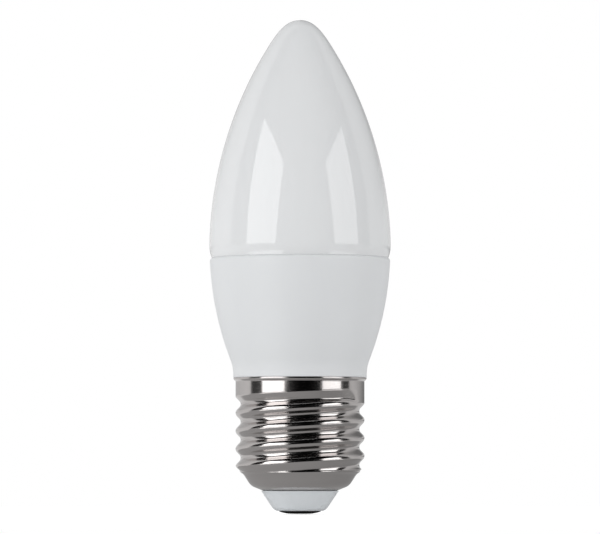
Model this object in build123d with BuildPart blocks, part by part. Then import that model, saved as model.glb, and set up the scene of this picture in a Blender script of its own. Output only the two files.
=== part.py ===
from build123d import *
import os
from math import asin, cos, hypot, radians, sin, sqrt, tan

# LED candle lamp with a rolled screw cap, in millimetres. +Z runs along the axis, from the face of the
# centre contact at the origin up to the tip. The front of the lamp is its -Y side.

# Outer casing
lamp_length = 100.0
tip_radius = 5.4
diffuser_diameter = 36.8
diffuser_belly_rise = 1.1
diffuser_wall = 1.2
diffuser_curl = 2.7
seam_inset = 0.55
housing_height = 24.2
housing_inset = 0.1
housing_belly_rise = 2.2
housing_wall = 1.6
housing_curl = 0.7
neck_height = 2.2
neck_plain = 0.6

# Joint between the diffuser and the housing
rim_land = 1.2
spigot_depth = 4.5
snap_drop = 2.5
snap_half_height = 0.5
snap_depth = 0.25
ledge_width = 0.6
fit = 0.1

# Screw cap with an E27 thread
thread_crest_diameter = 26.05
thread_depth = 1.025
thread_pitch = 3.629
thread_turns = 4.56
thread_facets = 8
thread_foot_angle = 135.0
thread_exit = 1.6
thread_land = 0.38
groove_clearance = 1.0
shell_sheet = 0.3
band_height = 0.8
hem_height = 0.9
hem_overhang = 0.43
shoulder_run = 1.725
shoulder_rise = 1.1
cone_run = 1.55
cone_rise = 2.15
lip_run = 2.2
lip_rise = 0.95

# Insulator and centre contact
insulator_land = 0.6
insulator_edge_run = 0.65
insulator_edge_rise = 0.47
insulator_cone_height = 4.1
insulator_overhang = 0.3
flange_inset = 1.25
flange_height = 2.8
lip_clearance = 0.05
contact_diameter = 8.4
contact_flat_diameter = 3.2
contact_height = 0.6
contact_edge = 0.15
shank_diameter = 2.4

# Neck of the housing, inside the screw shell
neck_overhang = 0.05
neck_step_gap = 0.3
neck_wall = 1.6
neck_foot_gap = 0.6
pocket_floor_rise = 3.5
slot_depth = 0.6
slot_floor = 1.0

# Heat sink and the board with the light sources
sink_sheet = 1.0
sink_foot_gap = 0.3
led_board_thickness = 1.2
led_count = 8
led_width = 2.8
led_length = 3.5
led_height = 0.7
led_window_rim = 0.4
led_window_depth = 0.1
led_margin = 7.0

# Driver board and the pins up to the other board
driver_thickness = 1.0
driver_headroom = 3.5
pin_side = 0.64
pin_spacing = 2.54
pin_overlap = 4.0
pin_reach = 1.0
pin_clearance = 0.1

# Parts on the driver board
part_gap = 2.0
capacitor_room = 1.3
capacitor_seat = 0.2
capacitor_length = 12.0
capacitor_leg_spacing = 3.5
leg_diameter = 0.6
leg_reach = 1.5
leg_bend = 0.5
choke_room = 2.0
choke_flange = 1.2
winding_inset = 0.6
winding_depth = 1.4
winding_clearance = 0.05
rectifier_width = 4.7
rectifier_length = 3.9
rectifier_height = 1.5
rectifier_leg_count = 2
rectifier_leg_spacing = 2.5
chip_width = 3.9
chip_length = 4.9
chip_height = 1.5
chip_leg_count = 4
chip_leg_spacing = 1.27
chip_leg_width = 0.5
chip_leg_reach = 1.05
chip_leg_height = 0.25
resistor_diameter = 2.6
resistor_length = 6.5
resistor_seat = 0.15
resistor_offset = 5.5

# Leads from the driver board to the cap
live_diameter = 1.2
live_offset = 2.5
live_overlap = 3.0
live_drop = 0.9
live_tail = 1.4
live_bend = 0.8
neutral_diameter = 0.5
neutral_angle = 250.0
neutral_overlap = 3.0
neutral_climb = 4.5
neutral_clearance = 0.1

# Heights, worked out from the contact's face upwards
lip_height = contact_height + insulator_cone_height
foot_corner_height = lip_height + lip_rise
cone_height = foot_corner_height + cone_rise
shoulder_height = cone_height + shoulder_rise
insulator_height = lip_height + flange_height
facet = thread_pitch / thread_facets
groove_half_width = (thread_facets - 1) / 2 * facet
thread_foot = shoulder_height - thread_exit
thread_top = thread_foot + thread_pitch * thread_turns
band_foot = thread_top + groove_half_width + thread_land
hem_foot = band_foot + band_height
cap_rim = hem_foot + hem_height
neck_foot = max(shoulder_height, insulator_height + live_tail) + neck_foot_gap
neck_step = band_foot + neck_step_gap
neck_top = cap_rim + neck_height
pocket_floor = cap_rim + pocket_floor_rise
seam_height = cap_rim + housing_height
snap_height = seam_height - snap_drop
led_board_top = seam_height - spigot_depth
led_board_foot = led_board_top - led_board_thickness
ledge_height = led_board_foot - sink_sheet
driver_foot = neck_foot + slot_floor
driver_top = led_board_foot - driver_headroom
housing_belly = seam_height + housing_belly_rise
diffuser_belly = seam_height + diffuser_belly_rise
flank_rise = lamp_length - tip_radius - diffuser_belly

# Radii, worked out from the thread and from the diffuser
crest_radius = thread_crest_diameter / 2
root_radius = crest_radius - thread_depth
shell_bore = root_radius - shell_sheet
band_bore = crest_radius - shell_sheet
hem_radius = crest_radius + hem_overhang
cone_radius = crest_radius - shoulder_run
foot_corner_radius = cone_radius - cone_run
lip_radius = foot_corner_radius - lip_run
contact_radius = contact_diameter / 2
shank_radius = shank_diameter / 2
neck_radius = hem_radius + neck_overhang
neck_spigot = shell_bore - fit
band_spigot = band_bore - fit
neck_bore = neck_spigot - neck_wall
slot_radius = neck_bore + slot_depth
diffuser_radius = diffuser_diameter / 2
belly_radius = diffuser_radius - housing_inset
seam_radius = diffuser_radius - seam_inset
mouth_radius = seam_radius - rim_land
spigot_radius = mouth_radius - fit
driver_face = driver_thickness / 2

# Radii of the two long curves: the flank is tangent to the tip, and the belly ends at the neck's top
flank_gain = diffuser_radius - tip_radius
flank_curve = (diffuser_radius**2 - tip_radius**2 + flank_rise**2) / (2 * flank_gain)
belly_gain = belly_radius - neck_radius
belly_curve = ((housing_belly - neck_top) ** 2 + belly_gain**2) / (2 * belly_gain)
neck_turn = asin((housing_belly - neck_top) / belly_curve)
neck_blend = (neck_height - neck_plain) / tan(neck_turn / 2)


def flank_radius(height, inset=0.0):
    """Radius of the diffuser's flank at a height, set in from its outer face."""
    centre = diffuser_radius - flank_curve
    return centre + sqrt((flank_curve - inset) ** 2 - (height - diffuser_belly) ** 2)


def housing_radius(height, inset=0.0):
    """Radius of the housing's belly at a height, set in from its outer face."""
    centre = belly_radius - belly_curve
    return centre + sqrt((belly_curve - inset) ** 2 - (height - housing_belly) ** 2)


def pocket_radius(height):
    """Radius of the housing's tapered pocket, from the wall at its floor up to the ledge."""
    top = mouth_radius - ledge_width
    floor = housing_radius(pocket_floor, housing_wall)
    return floor + (top - floor) * (height - pocket_floor) / (ledge_height - pocket_floor)


def curve(radius_at, low, high, inset=0.0):
    """Arc of a flank or belly between two heights."""
    heights = (low, (low + high) / 2, high)
    return ThreePointArc(*[(radius_at(height, inset), height) for height in heights])


def tip_point(turn, inset=0.0):
    """Point on the rounded tip, at a share of the way from the axis to where the flank begins."""
    run = flank_curve - diffuser_radius
    along = (run * turn, hypot(run, flank_rise) * (1 - turn) + flank_rise * turn)
    reach = (tip_radius - inset) / hypot(*along)
    return along[0] * reach, lamp_length - tip_radius + along[1] * reach


def tip_arc(inset=0.0):
    """Arc of the rounded tip from the axis to the flank."""
    return ThreePointArc(tip_point(0, inset), tip_point(1 / 2, inset), tip_point(1, inset))


# Opal diffuser, a hollow candle with a spigot that snaps into the housing
spigot_bore = spigot_radius - diffuser_wall
curl_top = seam_height + diffuser_curl
rim_top = seam_height + diffuser_wall
with BuildPart() as diffuser:
    with BuildSketch(Plane.XZ):
        with BuildLine():
            tip_arc()
            flank = curve(flank_radius, tip_point(1)[1], curl_top)
            TangentArc(flank @ 1, (seam_radius, seam_height), tangent=flank % 1)
            Polyline(
                (seam_radius, seam_height),
                (spigot_radius, seam_height),
                (spigot_radius, snap_height + snap_half_height),
                (spigot_radius + snap_depth, snap_height),
                (spigot_radius, snap_height - snap_half_height),
                (spigot_radius, led_board_top),
                (spigot_bore, led_board_top),
                (spigot_bore, rim_top),
                (flank_radius(rim_top, diffuser_wall), rim_top),
            )
            curve(flank_radius, rim_top, tip_point(1, diffuser_wall)[1], diffuser_wall)
            tip_arc(diffuser_wall)
            Line(tip_point(0, diffuser_wall), tip_point(0))
        make_face()
    revolve(axis=Axis.Z)

# Moulded housing, from the rim under the diffuser down to the neck inside the screw shell
snap_groove = snap_half_height + fit
neutral_radius = shell_bore - neutral_diameter / 2
neutral_channel = neck_spigot - neutral_radius + neutral_diameter / 2 + neutral_clearance
with BuildPart() as housing:
    with BuildSketch(Plane.XZ) as housing_section:
        with BuildLine():
            Line((neck_radius, cap_rim), (neck_radius, neck_top))
            belly = curve(housing_radius, neck_top, seam_height - housing_curl)
            TangentArc(belly @ 1, (seam_radius, seam_height), tangent=belly % 1)
            Polyline(
                (seam_radius, seam_height),
                (mouth_radius, seam_height),
                (mouth_radius, snap_height + snap_groove),
                (mouth_radius + snap_depth, snap_height),
                (mouth_radius, snap_height - snap_groove),
                (mouth_radius, ledge_height),
                (pocket_radius(ledge_height), ledge_height),
                (pocket_radius(pocket_floor), pocket_floor),
                (neck_bore, pocket_floor),
                (neck_bore, neck_foot),
                (neck_spigot, neck_foot),
                (neck_spigot, neck_step),
                (band_spigot, neck_step),
                (band_spigot, cap_rim),
                (neck_radius, cap_rim),
            )
        make_face()
        fillet(housing_section.vertices().sort_by_distance((neck_radius, neck_top))[0], radius=neck_blend)
    revolve(axis=Axis.Z)

    # Slots that the driver board slides down, and the channel for the bare lead
    with BuildSketch(Plane.XY.offset(driver_foot)):
        Rectangle(2 * slot_radius, driver_thickness + 2 * fit)
    extrude(amount=pocket_floor - driver_foot, mode=Mode.SUBTRACT)
    with BuildSketch(Plane.XY.offset(neck_foot)):
        with PolarLocations(neck_spigot, 1, start_angle=neutral_angle):
            Rectangle(2 * neutral_channel, neutral_diameter + 2 * neutral_clearance)
    extrude(amount=neutral_climb + neutral_clearance, mode=Mode.SUBTRACT)

# Screw shell: a plain band under a hem, the rolled thread, and a drawn foot that ends in a lip
cone_slope = shoulder_rise / shoulder_run
skin_radius = crest_radius - shell_sheet / 2
wall_foot = cone_height + shell_sheet / 2
with BuildPart() as screw_shell:
    with BuildSketch(Plane.XZ):
        with BuildLine():
            Polyline(
                (lip_radius, lip_height),
                (foot_corner_radius, foot_corner_height),
                (cone_radius, cone_height),
                (crest_radius, shoulder_height),
                (crest_radius, cap_rim),
            )
            offset(amount=shell_sheet, kind=Kind.INTERSECTION, side=Side.LEFT, closed=True)
        make_face()
        with BuildLine():
            Polyline(
                (shell_bore, wall_foot + cone_slope * (shell_bore - cone_radius)),
                (skin_radius, wall_foot + cone_slope * (skin_radius - cone_radius)),
                (skin_radius, band_foot),
                (shell_bore, band_foot),
                close=True,
            )
        make_face()
        with BuildLine():
            Polyline(
                (band_bore, hem_foot),
                (hem_radius, hem_foot),
                (hem_radius, cap_rim),
                (band_bore, cap_rim),
                close=True,
            )
        make_face()
    revolve(axis=Axis.Z)

    # The groove's wave has the corners of an octagon. It winds up to the right from under the shoulder
    corner_depths = (0, 1 - sqrt(1 / 2), sqrt(1 / 2), 1)
    flank_corners = [(thread_depth * depth, facet * (k + 1 / 2)) for k, depth in enumerate(corner_depths)]
    clear_corner = (thread_depth + groove_clearance, groove_half_width)
    with BuildLine(Plane.XY.offset(thread_foot)) as helix:
        Helix(thread_pitch, thread_pitch * thread_turns, root_radius)
    groove = helix.wire().rotate(Axis.Z, thread_foot_angle)
    groove_foot = groove @ 0
    groove_top = groove @ 1
    with BuildSketch(Plane(groove_foot, (groove_foot.X, groove_foot.Y), groove % 0)):
        with BuildLine():
            Polyline(*flank_corners, clear_corner)
            mirror(about=Plane.XZ)
            Line(flank_corners[0], (flank_corners[0][0], -flank_corners[0][1]))
            Line(clear_corner, (clear_corner[0], -clear_corner[1]))
        make_face()
    sweep(path=groove, is_frenet=True, mode=Mode.SUBTRACT)

    # Round run-out at the groove's upper end
    with BuildSketch(Plane(groove_top, (groove_top.X, groove_top.Y), groove % 1)):
        with BuildLine():
            Polyline((0, 0), *flank_corners, clear_corner, (clear_corner[0], 0), close=True)
        make_face()
    revolve(axis=Axis(groove_top, (groove_top.X, groove_top.Y)), mode=Mode.SUBTRACT)

# Insulator, moulded round the shell's lip, with a hole for the contact's shank
lip_slope = lip_rise / lip_run
lip_length = hypot(lip_rise, lip_run)
waist_radius = lip_radius - shell_sheet * lip_rise / lip_length - lip_clearance
flange_radius = foot_corner_radius - flange_inset
flange_foot = lip_height + shell_sheet * lip_length / lip_run + lip_clearance
insulator_foot_radius = contact_radius + insulator_land
insulator_edge_radius = insulator_foot_radius + insulator_edge_run
with BuildPart() as insulator:
    with BuildSketch(Plane.XZ):
        with BuildLine():
            Polyline(
                (shank_radius + lip_clearance, contact_height),
                (insulator_foot_radius, contact_height),
                (insulator_edge_radius, contact_height + insulator_edge_rise),
                (lip_radius + insulator_overhang, lip_height - lip_clearance),
                (waist_radius, lip_height - lip_clearance),
                (waist_radius, flange_foot + lip_slope * (waist_radius - lip_radius)),
                (flange_radius, flange_foot + lip_slope * (flange_radius - lip_radius)),
                (flange_radius, insulator_height),
                (shank_radius + lip_clearance, insulator_height),
                close=True,
            )
        make_face()
    revolve(axis=Axis.Z)

# Centre contact, a domed rivet with a flat middle
with BuildPart() as centre_contact:
    with BuildSketch(Plane.XZ):
        with BuildLine():
            Line((0, 0), (contact_flat_diameter / 2, 0))
            dome_edge = (contact_radius, contact_height - contact_edge)
            TangentArc((contact_flat_diameter / 2, 0), dome_edge, tangent=(1, 0))
            Polyline(
                dome_edge,
                (contact_radius, contact_height),
                (shank_radius, contact_height),
                (shank_radius, insulator_height),
                (0, insulator_height),
                (0, 0),
            )
        make_face()
    revolve(axis=Axis.Z)

# Drawn heat sink, a tapered sleeve in the housing's pocket that hangs by its flange on the ledge
sink_foot = pocket_floor + sink_foot_gap
with BuildPart() as heat_sink:
    with BuildSketch(Plane.XZ):
        with BuildLine():
            Polyline(
                (pocket_radius(sink_foot) - fit, sink_foot),
                (pocket_radius(ledge_height) - fit, ledge_height),
                (spigot_radius, ledge_height),
                (spigot_radius, led_board_foot),
                (pocket_radius(led_board_foot) - fit - sink_sheet, led_board_foot),
                (pocket_radius(sink_foot) - fit - sink_sheet, sink_foot),
                close=True,
            )
        make_face()
    revolve(axis=Axis.Z)

# Round board for the light sources, with holes for the two pins
pin_face = driver_face + pin_side / 2
pin_places = [(-pin_spacing / 2, pin_face), (pin_spacing / 2, pin_face)]
with BuildPart() as led_board:
    with BuildSketch(Plane.XY.offset(led_board_foot)):
        Circle(spigot_radius)
        with Locations(pin_places):
            Rectangle(pin_side + 2 * pin_clearance, pin_side + 2 * pin_clearance, mode=Mode.SUBTRACT)
    extrude(amount=led_board_thickness)


def light_source(turn):
    """Light source at an angle round the ring: a package with a sunk window."""
    with BuildPart() as package:
        with BuildSketch(Plane.XY.offset(led_board_top)):
            with PolarLocations(led_ring, 1, start_angle=turn):
                Rectangle(led_length, led_width)
        extrude(amount=led_height)
        with BuildSketch(Plane.XY.offset(led_board_top + led_height)):
            with PolarLocations(led_ring, 1, start_angle=turn):
                Rectangle(led_length - 2 * led_window_rim, led_width - 2 * led_window_rim)
        extrude(amount=-led_window_depth, mode=Mode.SUBTRACT)
    return package


# Ring of light sources
led_ring = spigot_radius - led_margin
leds = [light_source(360 * k / led_count) for k in range(led_count)]

# Driver board, which stands in the neck's slots
with BuildPart() as driver_board:
    with BuildSketch(Plane.XY.offset(driver_foot)):
        Rectangle(2 * (slot_radius - fit), driver_thickness)
    extrude(amount=driver_top - driver_foot)


def board_pin(place):
    """Square pin on the driver board's +Y face that goes up through the round board."""
    with BuildPart() as pin:
        with BuildSketch(Plane.XY.offset(driver_top - pin_overlap)):
            with Locations(place):
                Rectangle(pin_side, pin_side)
        extrude(amount=led_board_top + pin_reach - driver_top + pin_overlap)
    return pin


def bent_leg(board_point, free_point):
    """Path of a component's leg: from a point on the board straight out, round a bend, then along Z."""
    corner = (board_point[0], free_point[1], board_point[2])
    return FilletPolyline(board_point, corner, free_point, radius=leg_bend)


# Smoothing capacitor, lying along the board with its legs bent into it
capacitor_diameter = neck_bore - driver_face - capacitor_seat - capacitor_room
capacitor_axis = driver_face + capacitor_seat + capacitor_diameter / 2
capacitor_foot = driver_foot + live_overlap + part_gap
capacitor_top = capacitor_foot + capacitor_length
with BuildPart() as smoothing_capacitor:
    with BuildSketch(Plane.XY.offset(capacitor_foot)):
        with Locations((0, capacitor_axis)):
            Circle(capacitor_diameter / 2)
    extrude(amount=capacitor_length)
    for side in (-1, 1):
        leg_x = side * capacitor_leg_spacing / 2
        leg_top = capacitor_top + leg_reach
        with BuildLine() as leg:
            bent_leg((leg_x, driver_face, leg_top), (leg_x, capacitor_axis, capacitor_top))
        with BuildSketch(Plane(leg.wire() @ 0, z_dir=leg.wire() % 0)):
            Circle(leg_diameter / 2)
        sweep(path=leg.wire())

# Choke: a ferrite drum that stands on the board's other face, and its winding
choke_height = neck_bore - driver_face - choke_room
choke_radius = choke_height / 2
choke_middle = driver_foot + neutral_overlap + part_gap + choke_radius
winding_radius = choke_radius - winding_inset
winding_bore = winding_radius - winding_depth
choke_core_radius = winding_bore - winding_clearance
choke_plane = Plane((0, -driver_face, choke_middle), x_dir=(1, 0, 0), z_dir=(0, -1, 0))
with BuildPart() as choke_core:
    with BuildSketch(choke_plane):
        Circle(choke_radius)
    extrude(amount=choke_flange)
    with BuildSketch(choke_plane):
        Circle(choke_core_radius)
    extrude(amount=choke_height)
    with BuildSketch(choke_plane.offset(choke_height - choke_flange)):
        Circle(choke_radius)
    extrude(amount=choke_flange)

with BuildPart() as choke_winding:
    with BuildSketch(choke_plane.offset(choke_flange + winding_clearance)):
        Circle(winding_radius)
        Circle(winding_bore, mode=Mode.SUBTRACT)
    extrude(amount=choke_height - 2 * (choke_flange + winding_clearance))


def chip(middle, width, length, height, leg_count, leg_spacing):
    """Chip package on the board's -Y face: a moulded body with flat legs on both sides."""
    plane = Plane((0, -driver_face, middle), x_dir=(1, 0, 0), z_dir=(0, -1, 0))
    with BuildPart() as package:
        with BuildSketch(plane):
            Rectangle(width, length)
        extrude(amount=height)
        with BuildSketch(plane):
            with GridLocations(0, leg_spacing, 1, leg_count):
                Rectangle(width + 2 * chip_leg_reach, chip_leg_width)
        extrude(amount=chip_leg_height)
    return package


# Bridge rectifier and driver chip, in a row above the choke
rectifier_middle = choke_middle + choke_radius + part_gap + rectifier_length / 2
chip_middle = rectifier_middle + rectifier_length / 2 + part_gap + chip_length / 2
bridge_rectifier = chip(
    rectifier_middle,
    rectifier_width,
    rectifier_length,
    rectifier_height,
    rectifier_leg_count,
    rectifier_leg_spacing,
)
driver_chip = chip(chip_middle, chip_width, chip_length, chip_height, chip_leg_count, chip_leg_spacing)

# Fusible resistor, lying along the board near its top
resistor_axis = driver_face + resistor_seat + resistor_diameter / 2
resistor_top = driver_top - part_gap - leg_reach
resistor_foot = resistor_top - resistor_length
with BuildPart() as fuse_resistor:
    with BuildSketch(Plane.XY.offset(resistor_foot)):
        with Locations((resistor_offset, resistor_axis)):
            Circle(resistor_diameter / 2)
    extrude(amount=resistor_length)
    for leg_end, body_end in (
        (resistor_foot - leg_reach, resistor_foot),
        (resistor_top + leg_reach, resistor_top),
    ):
        with BuildLine() as leg:
            bent_leg((resistor_offset, driver_face, leg_end), (resistor_offset, resistor_axis, body_end))
        with BuildSketch(Plane(leg.wire() @ 0, z_dir=leg.wire() % 0)):
            Circle(leg_diameter / 2)
        sweep(path=leg.wire())

# Insulated lead from the driver board to the centre contact's shank
live_face = driver_face + live_diameter / 2
live_run = driver_foot - live_drop
with BuildPart() as live_lead:
    with BuildLine() as live_path:
        FilletPolyline(
            (live_offset, live_face, driver_foot + live_overlap),
            (live_offset, live_face, live_run),
            (0, 0, insulator_height + live_tail),
            (0, 0, insulator_height),
            radius=live_bend,
        )
    with BuildSketch(Plane(live_path.wire() @ 0, z_dir=live_path.wire() % 0)):
        Circle(live_diameter / 2)
    sweep(path=live_path.wire())

# Bare lead that comes under the neck's foot and up its channel, against the screw shell
neutral_face = driver_face + neutral_diameter / 2
neutral_x = neutral_radius * cos(radians(neutral_angle))
neutral_y = neutral_radius * sin(radians(neutral_angle))
neutral_bend = neutral_diameter / 2 + neutral_clearance
neutral_run = neck_foot - neutral_bend
with BuildPart() as neutral_lead:
    with BuildLine() as neutral_path:
        FilletPolyline(
            (neutral_x, -neutral_face, driver_foot + neutral_overlap),
            (neutral_x, -neutral_face, neutral_run),
            (neutral_x, neutral_y, neutral_run),
            (neutral_x, neutral_y, neck_foot + neutral_climb),
            radius=neutral_bend,
        )
    with BuildSketch(Plane(neutral_path.wire() @ 0, z_dir=neutral_path.wire() % 0)):
        Circle(neutral_diameter / 2)
    sweep(path=neutral_path.wire())

# One file for each piece
pieces = {
    "diffuser": diffuser,
    "housing": housing,
    "screw_shell": screw_shell,
    "insulator": insulator,
    "centre_contact": centre_contact,
    "heat_sink": heat_sink,
    "led_board": led_board,
    **{f"led_{k + 1}": led for k, led in enumerate(leds)},
    "driver_board": driver_board,
    "left_board_pin": board_pin(pin_places[0]),
    "right_board_pin": board_pin(pin_places[1]),
    "smoothing_capacitor": smoothing_capacitor,
    "choke_core": choke_core,
    "choke_winding": choke_winding,
    "bridge_rectifier": bridge_rectifier,
    "driver_chip": driver_chip,
    "fuse_resistor": fuse_resistor,
    "live_lead": live_lead,
    "neutral_lead": neutral_lead,
}
os.makedirs("parts", exist_ok=True)
for name, piece in pieces.items():
    piece.part.label = name
    export_step(piece.part, f"parts/{name}.step")
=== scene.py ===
from math import pi, radians

import bpy
import numpy as np
from mathutils import Matrix, Vector


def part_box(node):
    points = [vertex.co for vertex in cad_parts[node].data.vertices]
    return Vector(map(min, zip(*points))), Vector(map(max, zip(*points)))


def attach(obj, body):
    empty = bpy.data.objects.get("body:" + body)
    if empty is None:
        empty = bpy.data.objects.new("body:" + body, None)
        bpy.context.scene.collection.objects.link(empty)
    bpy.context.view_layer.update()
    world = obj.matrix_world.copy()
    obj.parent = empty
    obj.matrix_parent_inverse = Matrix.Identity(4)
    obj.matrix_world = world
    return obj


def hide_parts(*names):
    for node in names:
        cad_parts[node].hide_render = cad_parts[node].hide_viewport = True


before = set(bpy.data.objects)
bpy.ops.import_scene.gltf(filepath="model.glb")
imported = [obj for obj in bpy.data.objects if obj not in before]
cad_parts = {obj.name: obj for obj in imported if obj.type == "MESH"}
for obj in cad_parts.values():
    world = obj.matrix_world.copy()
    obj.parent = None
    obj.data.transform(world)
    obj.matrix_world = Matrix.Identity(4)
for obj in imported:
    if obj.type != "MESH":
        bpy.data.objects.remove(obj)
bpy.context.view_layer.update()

bl_info = {
    "name": "Candle lamp finisher",
    "version": (1, 0, 0),
    "blender": (4, 5, 0),
    "location": "3D View > Sidebar > Candle lamp",
    "description": "Makes the casing and the screw cap of an LED candle lamp, and finishes every part",
    "category": "Object",
}

MM = 0.001
MICRON = 0.000001
ROOT = "root"
# Width of the picture in pixels
PHOTO_WIDTH = 600


def top_of(node):
    """Highest point of a CAD node."""
    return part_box(node)[1].z


def foot_of(node):
    """Lowest point of a CAD node."""
    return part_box(node)[0].z


def reach_of(node):
    """Largest distance of a CAD node's box from the axis."""
    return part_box(node)[1].x


# Properties


def size(name, description, default):
    """A length in metres that a user may change."""
    return bpy.props.FloatProperty(
        name=name, description=description, default=default,
        min=0.0, precision=5, subtype="DISTANCE", unit="LENGTH",
    )


def colour(name, description, default):
    """A colour that a user may change."""
    return bpy.props.FloatVectorProperty(
        name=name, description=description, default=default, size=3, min=0.0, max=1.0, subtype="COLOR"
    )


def plain(name, description, default):
    """A number without a unit that a user may change."""
    return bpy.props.FloatProperty(name=name, description=description, default=default)


def turn(name, description, default):
    """An angle, given in degrees, that a user may change."""
    return bpy.props.FloatProperty(
        name=name, description=description, default=radians(default), subtype="ANGLE", unit="ROTATION"
    )


class CasingSizes(bpy.types.PropertyGroup):
    """Sizes of the diffuser and the housing."""

    tip_height: size("Tip height", "Height of the diffuser's tip", top_of("diffuser"))
    tip_radius: size("Tip radius", "Radius of the tip's arc, to which the flank is tangent", 5.4 * MM)
    tip_run: size("Tip run", "Depth under the tip at which its eased face meets the flank", 7.0 * MM)
    tip_level: size("Tip level", "Length of the eased face's handle at the axis", 2.9 * MM)
    tip_lean: size("Tip lean", "Length of the eased face's handle at the flank", 5.5 * MM)
    diffuser_radius: size("Diffuser radius", "Radius at the diffuser's belly", 18.4 * MM)
    diffuser_belly: size("Diffuser belly", "Height of the belly above the seam", 1.1 * MM)
    diffuser_wall: size("Diffuser wall", "Thickness of the diffuser", 1.2 * MM)
    diffuser_curl: size("Diffuser curl", "Height of the turned-in rim above the seam", 2.7 * MM)
    seam_height: size("Seam height", "Height of the seam", top_of("housing"))
    seam_radius: size("Seam radius", "Radius at the seam", 17.85 * MM)
    rim_land: size("Rim land", "Width of the faces that meet at the seam", 1.2 * MM)
    spigot_foot: size("Spigot foot", "Height of the diffuser's lower end", foot_of("diffuser"))
    snap_drop: size("Snap drop", "Depth of the snap bead under the seam", 2.5 * MM)
    snap_half: size("Snap half height", "Half the height of the snap bead", 0.5 * MM)
    snap_depth: size("Snap depth", "How far the snap bead stands out", 0.25 * MM)
    fit: size("Fit", "Clearance between parts that slide together", 0.1 * MM)
    belly_radius: size("Housing belly radius", "Radius at which the housing's curve is upright", 18.3 * MM)
    belly_rise: size("Housing belly", "Height above the seam of the centre of the housing's curve", 2.2 * MM)
    housing_curl: size("Housing curl", "Height of the turned-in rim under the seam", 0.7 * MM)
    housing_wall: size("Housing wall", "Thickness of the housing at its pocket's floor", 1.6 * MM)
    neck_radius: size("Neck radius", "Radius of the neck above the cap", reach_of("screw_shell") + 0.05 * MM)
    neck_height: size("Neck height", "Height of the neck above the cap's rim", 2.2 * MM)
    neck_plain: size("Plain neck", "Height of the neck under its blend", 0.6 * MM)
    neck_step: size("Neck step", "Height of the neck's step above the foot of the plain band", 0.3 * MM)
    ledge_height: size("Ledge height", "Height of the heat sink's ledge", top_of("heat_sink") - 1.0 * MM)
    ledge_width: size("Ledge width", "Width of that ledge", 0.6 * MM)
    pocket_rise: size("Pocket rise", "Height of the pocket's floor above the cap's rim", 3.5 * MM)
    neck_bore: size("Neck bore", "Radius of the bore through the neck", 10.0 * MM)
    slot_reach: size("Slot reach", "Distance of the board slots' floors from the axis", 10.6 * MM)
    slot_half: size("Slot half width", "Half the width of the board slots", 0.6 * MM)
    slot_foot: size("Slot foot", "Height above the neck's lower end at which the board slots begin", 1.0 * MM)
    neck_foot: size("Neck foot", "Height of the neck's lower end", foot_of("housing"))
    edge_round: size("Edge rounding", "Radius on the moulded edges", 0.2 * MM)


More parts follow.
